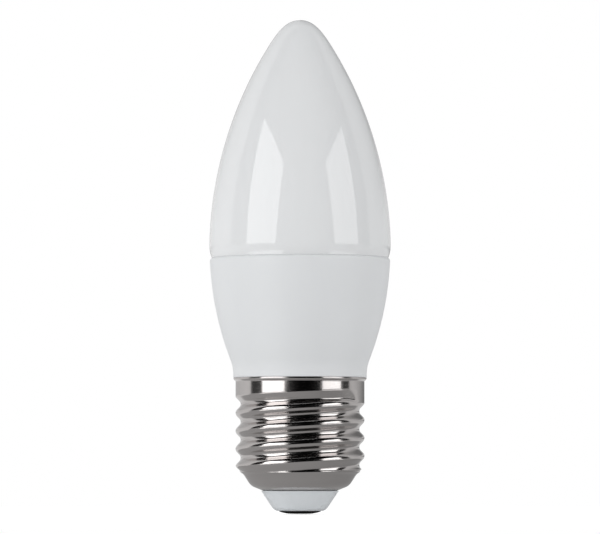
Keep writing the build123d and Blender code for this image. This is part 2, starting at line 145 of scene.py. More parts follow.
class CapSizes(bpy.types.PropertyGroup):
    """Sizes of the screw shell, the insulator and the centre contact."""

    rim_height: size("Rim height", "Height of the cap's rim", top_of("screw_shell"))
    hem_radius: size("Hem radius", "Radius of the hem", reach_of("screw_shell"))
    hem_height: size("Hem height", "Height of the hem", 0.74 * MM)
    hem_slant: size("Hem slant", "Height of the hem's slanted underside", 0.36 * MM)
    crest_radius: size("Crest radius", "Radius at the thread's crest", 13.025 * MM)
    thread_depth: size("Thread depth", "Depth of the thread", 1.025 * MM)
    pitch: size("Pitch", "Pitch of the thread", 3.629 * MM)
    flank: turn("Flank", "Steepest angle of the thread's flanks", 44.0)
    lean: size("Lean", "How far the thread stands higher on the right than on the axis", 0.2 * MM)
    turns: plain("Turns", "Turns of the groove", 4.56)
    foot_turn: turn("Groove start", "Angle at which the groove starts, from +X", 135.0)
    groove_foot: size("Groove foot", "Height at which the groove's middle starts", 7.39 * MM)
    groove_fade: size("Groove fade", "Way over which the upper side of its end turns upright", 34.0 * MM)
    end_share: plain("End share", "Last share of that way, where the upper side turns faster", 0.12)
    edge_drop: plain("Edge drop", "Share by which the groove's upper edge comes down to its end", 0.37)
    edge_round: size("Edge rounding", "Rounding of the groove's upper edge at its end", 0.1 * MM)
    root_round: size("Root rounding", "Rounding of the groove's floor at its end", 0.2 * MM)
    foot_blend: size("Foot blend", "Height above the shoulder up to which the groove is eased", 1.0 * MM)
    band_lead: plain("Band lead", "Turns past the groove's end after which the plain band begins", 7 / 16)
    band_rise: size("Band rise", "Height of the plain band's foot above that turn's middle", 0.38 * MM)
    sheet: size("Sheet", "Thickness of the shell", 0.3 * MM)
    shoulder_height: size("Shoulder height", "Height of the shoulder under the thread", 9.5 * MM)
    waist_radius: size("Waist radius", "Radius of the short wall under the shoulder", 12.12 * MM)
    waist_flare: size("Waist flare", "How far that wall's upper end stands out", 0.08 * MM)
    waist_foot: size("Waist foot", "Height of that wall's lower end", 8.42 * MM)
    waist_top: size("Waist top", "Height of that wall's upper end", 8.75 * MM)
    cone_radius: size("Cone radius", "Radius at the top of the foot's cone", 11.48 * MM)
    cone_height: size("Cone height", "Height at the top of the foot's cone", 8.0 * MM)
    corner_radius: size("Foot corner radius", "Radius at the corner of the foot", 9.95 * MM)
    corner_height: size("Foot corner height", "Height at the corner of the foot", 5.65 * MM)
    lip_radius: size("Lip radius", "Radius of the lip round the insulator", 7.55 * MM)
    lip_height: size("Lip height", "Height of the lip", foot_of("screw_shell"))
    insulator_foot: size("Insulator foot", "Height of the insulator's lower face", foot_of("insulator"))
    insulator_top: size("Insulator top", "Height of the insulator's upper face", top_of("insulator"))
    insulator_flange: size("Insulator flange", "Radius of the flange in the shell", reach_of("insulator"))
    insulator_land: size("Insulator land", "Width of the face round the contact", 0.6 * MM)
    insulator_edge: size("Insulator edge", "Width of the slanted edge round that face", 0.65 * MM)
    insulator_edge_rise: size("Insulator edge rise", "Height of that slanted edge", 0.47 * MM)
    insulator_overhang: size("Insulator overhang", "How far it stands out under the lip", 0.3 * MM)
    lip_clearance: size("Lip clearance", "Gap round the lip", 0.05 * MM)
    contact_radius: size("Contact radius", "Radius of the centre contact", reach_of("centre_contact"))
    contact_flat: size("Contact flat", "Radius of the contact's flat middle", 1.6 * MM)
    contact_edge: size("Contact edge", "Height of the contact's upright edge", 0.15 * MM)
    contact_round: size("Contact rounding", "Rounding of the contact's edges", 0.06 * MM)
    shank_radius: size("Shank radius", "Radius of the contact's shank", 1.2 * MM)


class FinishColours(bpy.types.PropertyGroup):
    """Colours of the finishes."""

    opal: colour("Opal", "The diffuser's plastic", (0.777, 0.788, 0.792))
    housing: colour("Housing", "The housing's plastic", (0.735, 0.75, 0.758))
    nickel: colour("Nickel", "Plating on the screw shell", (0.60, 0.572, 0.562))
    insulator: colour("Insulator", "The insulator's plastic", (0.74, 0.77, 0.79))
    # Painted shade: the contact's near-black colour stands in for the shadow under the lamp, not the metal's
    # own colour
    contact: colour("Contact", "The centre contact", (0.05, 0.047, 0.045))
    aluminium: colour("Aluminium", "The heat sink", (0.74, 0.75, 0.76))
    board_white: colour("White board", "Solder mask of the round board", (0.86, 0.86, 0.84))
    board_green: colour("Green board", "Solder mask of the driver board", (0.05, 0.24, 0.10))
    phosphor: colour("Phosphor", "Windows of the light sources", (0.90, 0.72, 0.14))
    tin: colour("Tin", "Pins and bare wire", (0.70, 0.69, 0.67))
    sleeve: colour("Sleeve", "Sleeve of the capacitor", (0.03, 0.035, 0.05))
    ferrite: colour("Ferrite", "Core of the choke", (0.06, 0.06, 0.065))
    copper: colour("Copper", "Winding of the choke", (0.62, 0.26, 0.10))
    epoxy: colour("Epoxy", "Bodies of the chips", (0.025, 0.025, 0.027))
    lacquer: colour("Lacquer", "Body of the fusible resistor", (0.28, 0.45, 0.44))
    insulation: colour("Insulation", "Insulation of the live lead", (0.48, 0.03, 0.025))


class StageSettings(bpy.types.PropertyGroup):
    """Camera, lamps and cards."""

    camera_distance: size("Camera distance", "Distance of the camera from the axis", 1.0)
    camera_height: size("Camera height", "Height of the camera", 9.8 * MM)
    target_height: size("Target height", "Height that the camera looks at", 49.9 * MM)
    pixels_per_mm: plain("Pixels per millimetre", "Scale of the picture at the axis", 4.94)
    lamp_distance: size("Lamp distance", "Distance from the axis to the planes of the lamps", 0.8)
    left_level: plain("Left lamp", "Brightness of the left lamp's face, where 1 is white", 2.8)
    right_level: plain("Right lamp", "Brightness of the right lamp's face, where 1 is white", 2.1)
    side_level: plain("Side fill", "Brightness of the soft lamp on the left, which isn't mirrored", 0.38)
    top_level: plain("Top fill", "Brightness of the soft lamp high on the right, which isn't mirrored", 1.1)
    back_level: plain("Back fill", "Brightness of the soft lamp behind, which isn't mirrored", 0.5)
    fill_level: plain("Fill", "Brightness of the even light from all round", 0.345)
    left_card: plain("Left card", "Brightness of the card behind the lamp on the left", 0.74)
    left_rest: plain("Left card's back", "Share of that brightness that the card keeps at the back", 0.72)
    right_card: plain("Right card", "Brightness of the card behind the lamp on the right", 0.62)
    right_rest: plain("Right card's back", "Share of that brightness that the card keeps at the back", 0.3)
    # The lower card's grey round the lamp is painted shade: the floor in the lamp's own shade, as the metal
    # mirrors it
    under_level: plain("Lower card", "Brightness of the card on the floor round the lamp", 0.35)
    shade_level: plain("Shade card", "Brightness of the floor in the lamp's own shadow", 0.02)
    shade_radius: size("Shade card radius", "Radius of that shadow, close round the contact", 4.5 * MM)
    card_distance: size("Card distance", "Distance of the upright cards from the axis", 1.5)
    flag_distance: size("Flag distance", "Distance of the small black cards from the axis", 0.12)
    floor_lift: plain("Floor lift", "White that the camera sees on the floor, beside the light on it", 0.5)
    floor_near: size("Near floor", "Distance up to which the floor shows the light on it", 0.06)
    floor_far: size("Far floor", "Distance beyond which the floor is plain white", 0.24)


GROUPS = {
    "lamp_casing": CasingSizes,
    "lamp_cap": CapSizes,
    "lamp_colours": FinishColours,
    "lamp_stage": StageSettings,
}


# Shapes, worked out as whole arrays

# Distance within which two points of a profile are one
SAME_PLACE = 1e-7
# Largest share of a corner's shorter side that its rounding takes
SIDE_SHARE = 0.45
# Largest angle between two faces that are shaded as one
SHADED_AS_ONE = radians(40)


def arc(centre, radius, start, end, count):
    """Circular arc in the (r, z) plane: centre + radius (cos t, sin t), with t even from start to end."""
    t = np.linspace(start, end, count)
    return np.stack([centre[0] + radius * np.cos(t), centre[1] + radius * np.sin(t)], axis=1)


def tangent_arc(start, tangent, end, count):
    """Circular arc that leaves start along tangent and ends at end.

    The chord c makes an angle h with the tangent, so the arc turns by 2h on a radius of |c| / (2 sin h), and
    the point at share s lies a chord of 2 R sin(h s) away, in the direction of the tangent turned by h s.
    """
    start, end = np.asarray(start, float), np.asarray(end, float)
    along = np.asarray(tangent, float) / np.linalg.norm(tangent)
    across = np.array([-along[1], along[0]])
    chord = end - start
    half = np.arctan2(chord @ across, chord @ along)
    radius = np.linalg.norm(chord) / (2 * np.sin(half))
    turned = half * np.linspace(0, 1, count)
    reach = 2 * radius * np.sin(turned)
    return start + reach[:, None] * (np.cos(turned)[:, None] * along + np.sin(turned)[:, None] * across)


def rounded(corners, radius, count=5):
    """Polyline with rounded corners, its two ends kept.

    Each inner corner c becomes the curve (1-s)^2 a + 2 s (1-s) c + s^2 b, where a and b lie on the two sides,
    the radius from the corner or less. radius is one length, or one for each inner corner.
    """
    points = np.asarray(corners, float)
    before, corner, after = points[:-2], points[1:-1], points[2:]
    sides = np.stack([before - corner, after - corner], axis=1)
    lengths = np.linalg.norm(sides, axis=2)
    back = np.minimum(radius, SIDE_SHARE * lengths.min(axis=1))
    a = corner + sides[:, 0] * (back / lengths[:, 0])[:, None]
    b = corner + sides[:, 1] * (back / lengths[:, 1])[:, None]
    s = np.linspace(0, 1, count)[None, :, None]
    curves = (1 - s) ** 2 * a[:, None] + 2 * s * (1 - s) * corner[:, None] + s**2 * b[:, None]
    return np.concatenate([points[:1], curves.reshape(-1, 2), points[-1:]])


def joined(*runs):
    """Runs of profile points put end to end, without the points that repeat."""
    points = np.concatenate(runs)
    step = np.linalg.norm(np.diff(points, axis=0), axis=1)
    return points[np.concatenate([[True], step > SAME_PLACE])]


def spread(profile, longest):
    """Profile with extra points along its straight runs, so that no step is longer than the given length."""
    step = np.linalg.norm(np.diff(profile, axis=0), axis=1)
    parts = np.maximum(1, np.ceil(step / longest).astype(int))
    places = np.repeat(np.arange(len(step)), parts)
    starts = np.concatenate([[0], np.cumsum(parts)[:-1]])
    share = (np.arange(parts.sum()) - np.repeat(starts, parts)) / np.repeat(parts, parts)
    inner = profile[places] + share[:, None] * (profile[places + 1] - profile[places])
    return np.concatenate([inner, profile[-1:]])


def smooth(share):
    """Share that eases from 0 to 1: t t (3 - 2 t)."""
    share = np.clip(share, 0, 1)
    return share**2 * (3 - 2 * share)


def soft_min(first, second, width):
    """Smaller of a and b, rounded over w where they cross: with m a share, b (1-m) + a m - w m (1-m)."""
    share = np.clip(0.5 + 0.5 * (second - first) / width, 0, 1)
    return second * (1 - share) + first * share - width * share * (1 - share)


def eased(radius, rows, passes):
    """Radii with their corners rounded along the profile, on the chosen rows, by passes of (1, 2, 1) / 4."""
    for _ in range(passes):
        mean = (np.roll(radius, 1, axis=0) + 2 * radius + np.roll(radius, -1, axis=0)) / 4
        radius = np.where(rows, mean, radius)
    return radius


def even_turn(count):
    """Angles round the axis, count of them, from -Y."""
    return np.linspace(0, 2 * pi, count, endpoint=False) - pi / 2


def linked(name, data):
    """New object of a mesh, a lamp or a camera, in the scene."""
    made = bpy.data.objects.new(name, data)
    bpy.context.scene.collection.objects.link(made)
    return made


def surface(name, radius, height, angle, ring):
    """Closed mesh object of a surface round the axis: x = r cos a, y = r sin a, z.

    radius and height are arrays over rows and columns, and angle is over columns. ring joins the last row to
    the first. Otherwise the first and last rows lie on the axis, and each becomes one point.
    """
    rows, columns = np.broadcast_shapes(radius.shape, height.shape, (1, len(angle)))
    radius = np.broadcast_to(radius, (rows, columns))
    height = np.broadcast_to(height, (rows, columns))
    grid = np.stack([radius * np.cos(angle), radius * np.sin(angle), height], axis=2)
    index = np.arange(rows * columns).reshape(rows, columns)
    following = np.roll(index, -1, axis=1)
    body, shifted = (index, following) if ring else (index[1:-1], following[1:-1])
    if ring:
        body, shifted = np.concatenate([body, body[:1]]), np.concatenate([shifted, shifted[:1]])
    quads = np.stack([body[:-1], shifted[:-1], shifted[1:], body[1:]], axis=2).reshape(-1, 4)
    points, triangles = grid.reshape(-1, 3), np.empty((0, 3), int)
    if not ring:
        first, last = np.full(columns, index[0, 0]), np.full(columns, index[-1, 0])
        triangles = np.concatenate([
            np.stack([first, following[1], index[1]], axis=1),
            np.stack([last, index[-2], following[-2]], axis=1),
        ])
        used = np.concatenate([[index[0, 0]], index[1:-1].ravel(), [index[-1, 0]]])
        renumbered = np.empty(rows * columns, int)
        renumbered[used] = np.arange(len(used))
        points, quads, triangles = points[used], renumbered[quads], renumbered[triangles]
    # The faces point outwards where the volume that they enclose is above zero
    a, b, c, d = (points[quads[:, k]] for k in range(4))
    volume = np.einsum("ij,ij->", a, np.cross(b, c)) + np.einsum("ij,ij->", a, np.cross(c, d))
    if volume < 0:
        quads, triangles = quads[:, ::-1], triangles[:, ::-1]
    mesh = bpy.data.meshes.new(name)
    mesh.from_pydata(points.tolist(), [], quads.tolist() + triangles.tolist())
    mesh.polygons.foreach_set("use_smooth", np.ones(len(mesh.polygons), bool))
    mesh.set_sharp_from_angle(angle=SHADED_AS_ONE)
    if mesh.validate():
        raise RuntimeError(f"{name} has broken faces")
    return linked(name, mesh)


def turned_piece(name, profile, columns, ring):
    """Closed mesh object of a section (r, z) turned round the axis."""
    return surface(name, profile[:, :1], profile[:, 1:], even_turn(columns), ring)


def settle(piece, node, material):
    """Puts a finished piece on the lamp in place of its CAD node."""
    piece.data.materials.append(material)
    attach(piece, ROOT)
    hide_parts(node)


# Profiles of the pieces

# Rounding of the shell's corners in millimetres, from the lip up to the shoulder, and round the hem
FOOT_ROUNDING = (0.9, 0.4, 0.1, 0.1, 0.4)
HEM_ROUNDING = (0.1, 0.15, 0.1, 0.05)
# Steps in millimetres from the shell's outer corners to its inner ones, at the waist, the cone and the corner
INNER_STEPS = ((0.0, 0.15), (-0.2, 0.27), (-0.11, 0.29))
# Height of the foot's finer rows above the shoulder, and the longest steps of the rows on the shell
FINE_RUN = 1.5 * MM
FOOT_STEP, THREAD_STEP, HEM_STEP = 0.09 * MM, 0.14 * MM, 0.16 * MM
# Longest step of the rows inside the housing
HOUSING_STEP = 1.5 * MM
# Rounding of the insulator's corners in millimetres, from the foot of its hole round to the top of it
INSULATOR_ROUNDING = (0.3, 0.3, 0.3, 0.1, 0.1, 0.3, 0.3, 0.3, 0.3)


def flank_curve(c):
    """Height of the rounded tip's centre above the belly, and radius of the flank that is tangent to it.

    With that height H, belly radius a and tip radius t, R = (a^2 - t^2 + H^2) / (2 (a - t)).
    """
    rise = c.tip_height - c.tip_radius - c.seam_height - c.diffuser_belly
    gain = c.diffuser_radius - c.tip_radius
    return rise, (c.diffuser_radius**2 - c.tip_radius**2 + rise**2) / (2 * gain)


def diffuser_inside(c, low):
    """Inner face of the diffuser from the axis down to a height: two tangent arcs, set in by the wall."""
    rise, curve = flank_curve(c)
    belly = c.seam_height + c.diffuser_belly
    meet = np.arctan2(rise, curve - c.diffuser_radius)
    tip = arc((0, c.tip_height - c.tip_radius), c.tip_radius - c.diffuser_wall, pi / 2, meet, count=16)
    curve_inside = curve - c.diffuser_wall
    end = np.arcsin((low - belly) / curve_inside)
    return joined(tip, arc((c.diffuser_radius - curve, belly), curve_inside, meet, end, count=48))


def diffuser_face(c, low):
    """Outer face of the diffuser from the axis down to a height, with the tip eased into the flank.

    The tip is a cubic curve, level at the axis and tangent to the flank: the sum of p0 (1 - s)^3,
    3 p1 s (1 - s)^2, 3 p2 s^2 (1 - s) and p3 s^3.
    """
    _, curve = flank_curve(c)
    belly, meet_height = c.seam_height + c.diffuser_belly, c.tip_height - c.tip_run
    meet, end = (np.arcsin((height - belly) / curve) for height in (meet_height, low))
    flank = arc((c.diffuser_radius - curve, belly), curve, meet, end, count=72)
    handle = flank[0] + c.tip_lean * np.array([-np.sin(meet), np.cos(meet)])
    s = np.linspace(0, 1, 30)[:, None]
    tip = 3 * np.array([c.tip_level, c.tip_height]) * s * (1 - s) ** 2 + 3 * handle * s**2 * (1 - s)
    return joined(tip + np.array([0.0, c.tip_height]) * (1 - s) ** 3 + flank[0] * s**3, flank)


def diffuser_profile(c):
    """The diffuser's section: outer face, turned-in rim, spigot with its snap bead, inner face."""
    snap, mouth = c.seam_height - c.snap_drop, c.seam_radius - c.rim_land
    spigot = mouth - c.fit
    bore, rim_top = spigot - c.diffuser_wall, c.seam_height + c.diffuser_wall
    outer = diffuser_face(c, c.seam_height + c.diffuser_curl)
    curl = tangent_arc(outer[-1], outer[-1] - outer[-2], (c.seam_radius, c.seam_height), count=14)
    inner = diffuser_inside(c, rim_top)[::-1]
    corners = [
        curl[-2],
        (c.seam_radius, c.seam_height),
        (spigot, c.seam_height),
        (spigot, snap + c.snap_half),
        (spigot + c.snap_depth, snap),
        (spigot, snap - c.snap_half),
        (spigot, c.spigot_foot),
        (bore, c.spigot_foot),
        (bore, rim_top),
        inner[0],
        inner[1],
    ]
    return joined(outer, curl[1:-1], rounded(corners, c.edge_round)[1:-1], inner[1:])


def housing_profile(c, cap):
    """The housing's section, up the outer face, over the rim and down through the pocket and the bore.

    The belly is an arc about the height m, which ends at the neck's top: over a drop d and a gain g,
    R = (d^2 + g^2) / (2 g). Its distance from the axis at a height z is centre + sqrt(R^2 - (z - m)^2).
    """
    middle, neck_top = c.seam_height + c.belly_rise, cap.rim_height + c.neck_height
    gain = c.belly_radius - c.neck_radius
    curve = ((middle - neck_top) ** 2 + gain**2) / (2 * gain)
    centre = c.belly_radius - curve
    slant = np.arcsin((middle - neck_top) / curve)
    blend = (c.neck_height - c.neck_plain) / np.tan(slant / 2)
    # The blend is tangent to the neck, so its centre is one radius outside it, and R + blend from the belly's
    hub = c.neck_radius + blend
    reach = np.arccos((hub - centre) / (curve + blend))
    neck = arc((hub, middle - (curve + blend) * np.sin(reach)), blend, pi, pi - reach, count=16)
    belly_end = np.arcsin((c.seam_height - c.housing_curl - middle) / curve)
    belly = arc((centre, middle), curve, -reach, belly_end, count=60)
    curl = tangent_arc(belly[-1], belly[-1] - belly[-2], (c.seam_radius, c.seam_height), count=10)
    snap, mouth = c.seam_height - c.snap_drop, c.seam_radius - c.rim_land
    groove, floor = c.snap_half + c.fit, cap.rim_height + c.pocket_rise
    band = cap.crest_radius - cap.sheet - c.fit
    spigot, step = band - cap.thread_depth, band_foot(cap) + c.neck_step
    corners = [
        curl[-2],
        (c.seam_radius, c.seam_height),
        (mouth, c.seam_height),
        (mouth, snap + groove),
        (mouth + c.snap_depth, snap),
        (mouth, snap - groove),
        (mouth, c.ledge_height),
        (mouth - c.ledge_width, c.ledge_height),
        (centre + np.sqrt(curve**2 - (floor - middle) ** 2) - c.housing_wall, floor),
        (c.neck_bore, floor),
        (c.neck_bore, c.neck_foot),
        (spigot, c.neck_foot),
        (spigot, step),
        (band, step),
        (band, cap.rim_height),
        (c.neck_radius, cap.rim_height),
        neck[0],
    ]
    inside = spread(rounded(corners, c.edge_round), HOUSING_STEP)
    return joined(neck[1:], belly[1:], curl[1:-1], inside[1:])


def band_foot(cap):
    """Height at which the plain band above the thread begins."""
    return cap.groove_foot + cap.pitch * (cap.turns + cap.band_lead) + cap.band_rise


def thread_wave(cap, distance):
    """Radius of the thread at a distance from the groove's middle, by two equal arcs and a straight flank.

    With depth d, pitch p and flank angle f, both arcs have R = (tan f p / 2 - d) / (2 / cos f - 2) and reach
    R sin f along the axis. The first lies in the groove's floor, the second on the crest.
    """
    depth, half = cap.thread_depth, cap.pitch / 2
    arc_radius = (np.tan(cap.flank) * half - depth) / (2 / np.cos(cap.flank) - 2)
    reach = arc_radius * np.sin(cap.flank)
    away = np.clip(np.abs(distance), 0, half)
    floor = arc_radius - np.sqrt(arc_radius**2 - np.minimum(away, reach) ** 2)
    crest = depth - arc_radius + np.sqrt(arc_radius**2 - np.minimum(half - away, reach) ** 2)
    straight = depth / 2 + (away - half / 2) * np.tan(cap.flank)
    rise = np.where(away < reach, floor, np.where(away > half - reach, crest, straight))
    return cap.crest_radius - depth + rise


def groove_radius(cap, height, angle):
    """Radius that the groove leaves at each height and angle.

    The groove's middle climbs by one pitch a turn and leans by a cosine of the angle, and the height above it
    is taken on each turn. On the last turn a straight face becomes the groove's upper side. Its slope falls
    with the root of the way that is left, and softly to nothing over the last of it, so the groove ends where
    the face is upright. The face's own upper edge is rounded, and so is its meeting with the groove's floor.
    """
    past = np.mod(angle - cap.foot_turn, 2 * pi)
    lap = np.arange(np.ceil(cap.turns) + 1)[:, None, None] - 1
    travel = past + 2 * pi * lap
    end = 2 * pi * cap.turns
    middle = cap.groove_foot + cap.pitch * travel / (2 * pi) + cap.lean * np.cos(angle)
    above = height - middle
    cut = cap.crest_radius - thread_wave(cap, above)
    left = np.clip((end - travel) * cap.crest_radius / cap.groove_fade, 0, 1)
    slope = np.sqrt(left) * smooth(left / cap.end_share)
    edge = cap.pitch / 4 + cap.thread_depth / 2 / np.tan(cap.flank)
    edge = edge * (1 - cap.edge_drop * (1 - slope))
    drop, round_off = (edge - above) * np.tan(cap.flank), cap.edge_round
    bend = (np.clip(drop, -round_off, round_off) + round_off) ** 2 / (4 * round_off)
    face = slope * np.where(drop < round_off, bend, drop)
    last = smooth(travel - end + 2 * pi)
    cut = np.maximum(cut + last * (soft_min(cut, face, cap.root_round) - cut), 0)
    return cap.crest_radius - np.max(cut, axis=0)


def foot_slope(cap):
    """Step from the shell's lip to the corner of its foot."""
    return np.array([cap.corner_radius - cap.lip_radius, cap.corner_height - cap.lip_height])


def shell_profile(cap):
    """The screw shell's outer face from the lip up to the hem, and its inner face back down."""
    crest, bore = cap.crest_radius, cap.crest_radius - cap.thread_depth - cap.sheet
    lip, corner = (cap.lip_radius, cap.lip_height), (cap.corner_radius, cap.corner_height)
    cone = (cap.cone_radius, cap.cone_height)
    foot = [
        lip,
        corner,
        cone,
        (cap.waist_radius, cap.waist_foot),
        (cap.waist_radius + cap.waist_flare, cap.waist_top),
        (crest, cap.shoulder_height),
        (crest, cap.shoulder_height + FINE_RUN),
    ]
    hem_foot, band = cap.rim_height - cap.hem_height, band_foot(cap)
    hem = [
        (crest, band),
        (crest, hem_foot),
        (cap.hem_radius, hem_foot + cap.hem_slant),
        (cap.hem_radius, cap.rim_height),
        (crest - cap.sheet, cap.rim_height),
        (crest - cap.sheet, band),
    ]
    foot = rounded(foot, np.array(FOOT_ROUNDING) * MM, count=9)
    hem = rounded(hem, np.array(HEM_ROUNDING) * MM, count=7)
    thread = np.array([foot[-1], hem[0]])
    slope = foot_slope(cap)
    inward = cap.sheet * np.array([-slope[1], slope[0]]) / np.linalg.norm(slope)
    inner = np.array([(bore, cap.waist_foot), cone, corner]) + np.array(INNER_STEPS) * MM
    inner = np.concatenate([[(bore, band)], inner, [lip + inward]])
    return joined(spread(foot, FOOT_STEP), spread(thread, THREAD_STEP), spread(hem, HEM_STEP), inner)


def insulator_profile(cap):
    """The insulator's section, from its hole round the lower side, the lip's groove and the flange."""
    slope, gap = foot_slope(cap), cap.lip_clearance
    length, steepness = np.linalg.norm(slope), slope[1] / slope[0]
    waist = cap.lip_radius - cap.sheet * slope[1] / length - gap
    flange = cap.lip_height + cap.sheet * length / slope[0] + gap
    land, hole = cap.contact_radius + cap.insulator_land, cap.shank_radius + gap
    middle = (hole, (cap.insulator_foot + cap.insulator_top) / 2)
    corners = [
        middle,
        (hole, cap.insulator_foot),
        (land, cap.insulator_foot),
        (land + cap.insulator_edge, cap.insulator_foot + cap.insulator_edge_rise),
        (cap.lip_radius + cap.insulator_overhang, cap.lip_height - gap),
        (waist, cap.lip_height - gap),
        (waist, flange + steepness * (waist - cap.lip_radius)),
        (cap.insulator_flange, flange + steepness * (cap.insulator_flange - cap.lip_radius)),
        (cap.insulator_flange, cap.insulator_top),
        (hole, cap.insulator_top),
        middle,
    ]
    return rounded(corners, np.array(INSULATOR_ROUNDING) * MM, count=7)[1:]


def contact_profile(cap):
    """The contact's section: flat middle, dome, upright edge and shank."""
    edge = (cap.contact_radius, cap.insulator_foot - cap.contact_edge)
    dome = tangent_arc((cap.contact_flat, 0.0), (1.0, 0.0), edge, count=16)
    corners = [
        dome[-2],
        edge,
        (cap.contact_radius, cap.insulator_foot),
        (cap.shank_radius, cap.insulator_foot),
        (cap.shank_radius, cap.insulator_top),
        (0.0, cap.insulator_top),
    ]
    flat = np.array([(0.0, 0.0), (cap.contact_flat / 2, 0.0)])
    return joined(flat, dome[:-1], rounded(corners, cap.contact_round)[1:])


# Finishes

# Sockets of the mix node between two colours: its two ends and its result
MIX_FIRST, MIX_SECOND, MIX_RESULT = 6, 7, 2


def place(tree, kind, settings=None, inputs=None):
    """Adds a node, sets its properties, and fills or links its inputs."""
    made = tree.nodes.new(kind)
    for name, value in (settings or {}).items():
        setattr(made, name, value)
    for name, value in (inputs or {}).items():
        if isinstance(value, bpy.types.NodeSocket):
            tree.links.new(value, made.inputs[name])
        else:
            made.inputs[name].default_value = value
    return made


def maths(tree, operation, first, second):
    """Result of an operation on two values, each a number or a socket."""
    return place(tree, "ShaderNodeMath", {"operation": operation}, {0: first, 1: second}).outputs[0]


def ramp(tree, value, start, end, low=0.0, high=1.0):
    """Value that goes evenly from low at start to high at end, and stays there."""
    inputs = {"Value": value, "From Min": start, "From Max": end, "To Min": low, "To Max": high}
    return place(tree, "ShaderNodeMapRange", inputs=inputs).outputs["Result"]


def noise(tree, vector, scale, detail):
    """Noise texture on a vector."""
    inputs = {"Vector": vector, "Scale": scale, "Detail": detail}
    return place(tree, "ShaderNodeTexNoise", inputs=inputs).outputs["Fac"]


def object_place(tree):
    """Object coordinates."""
    return place(tree, "ShaderNodeTexCoord").outputs["Object"]


def group(name, inputs, outputs):
    """New shader node group with float inputs and outputs, and its two end nodes."""
    tree = bpy.data.node_groups.new(name, "ShaderNodeTree")
    for label, default in inputs.items():
        socket = tree.interface.new_socket(label, in_out="INPUT", socket_type="NodeSocketFloat")
        socket.default_value = default
    for label in outputs:
        tree.interface.new_socket(label, in_out="OUTPUT", socket_type="NodeSocketFloat")
    return tree, place(tree, "NodeGroupInput"), place(tree, "NodeGroupOutput")


def moulded_skin():
    """Group for moulded plastic: fine grain from the tool, and slow changes from the flow of the melt."""
    if "Moulded skin" in bpy.data.node_groups:
        return bpy.data.node_groups["Moulded skin"]
    scales = {"Grain scale": 4000.0, "Flow scale": 60.0}
    tree, start, end = group("Moulded skin", scales, ("Grain", "Flow"))
    where = object_place(tree)
    tree.links.new(noise(tree, where, start.outputs["Grain scale"], detail=2.0), end.inputs["Grain"])
    tree.links.new(noise(tree, where, start.outputs["Flow scale"], detail=3.0), end.inputs["Flow"])
    return tree


def worked_metal():
    """Group for rolled, drawn and turned metal: fine lines round the axis, and soft marks from handling."""
    if "Worked metal" in bpy.data.node_groups:
        return bpy.data.node_groups["Worked metal"]
    scales = {"Line scale": 9000.0, "Line length": 0.03, "Mark scale": 260.0}
    tree, start, end = group("Worked metal", scales, ("Lines", "Marks"))
    where, length = object_place(tree), start.outputs["Line length"]
    squeeze = place(tree, "ShaderNodeCombineXYZ", inputs={"X": length, "Y": length, "Z": 1.0}).outputs[0]
    drawn = place(tree, "ShaderNodeVectorMath", {"operation": "MULTIPLY"}, {0: where, 1: squeeze}).outputs[0]
    tree.links.new(noise(tree, drawn, start.outputs["Line scale"], detail=3.0), end.inputs["Lines"])
    tree.links.new(noise(tree, where, start.outputs["Mark scale"], detail=4.0), end.inputs["Marks"])
    return tree


def shades(tree, factor, first, second):
    """Colour between two shades, each a colour or a socket, by a factor."""
    inputs = {"Factor": factor}
    for slot, shade in ((MIX_FIRST, first), (MIX_SECOND, second)):
        inputs[slot] = shade if isinstance(shade, bpy.types.NodeSocket) else (*shade, 1.0)
    return place(tree, "ShaderNodeMix", {"data_type": "RGBA"}, inputs).outputs[MIX_RESULT]


def scaled(shade, factor):
    """A colour made darker or lighter."""
    return tuple(min(1.0, channel * factor) for channel in shade)


def near_shades(tree, factor, shade, contrast):
    """Colour that goes from a little darker than a shade to a little lighter, by a factor."""
    return shades(tree, factor, scaled(shade, 1 - contrast), scaled(shade, 1 + contrast))


def bare(name):
    """New material with an empty node tree, and its tree."""
    made = bpy.data.materials.new(name)
    made.use_nodes = True
    made.node_tree.nodes.clear()
    return made, made.node_tree


def show(tree, shader):
    """Puts a shader on the surface."""
    place(tree, "ShaderNodeOutputMaterial", inputs={"Surface": shader.outputs[0]})


def bump(tree, height, strength, depth):
    """Normal from a height, with its depth in microns."""
    inputs = {"Height": height, "Strength": strength, "Distance": depth * MICRON}
    return place(tree, "ShaderNodeBump", inputs=inputs).outputs["Normal"]


def moulded(name, shade, rough, grain, depth, contrast, coat=0.0):
    """Moulded plastic: two near shades by flow, roughness by grain, and a fine bump.

    rough is the least and the most roughness, grain the grain's scale, and depth the bump's, in microns.
    """
    made, tree = bare(name)
    skin = place(tree, "ShaderNodeGroup", {"node_tree": moulded_skin()}, {"Grain scale": grain}).outputs
    finish = {
        "Base Color": near_shades(tree, skin["Flow"], shade, contrast),
        "Roughness": ramp(tree, skin["Grain"], 0.0, 1.0, *rough),
        "Coat Weight": coat,
        "Coat Roughness": 0.04,
        "Normal": bump(tree, skin["Grain"], strength=0.25, depth=depth),
    }
    show(tree, place(tree, "ShaderNodeBsdfPrincipled", inputs=finish))
    return made


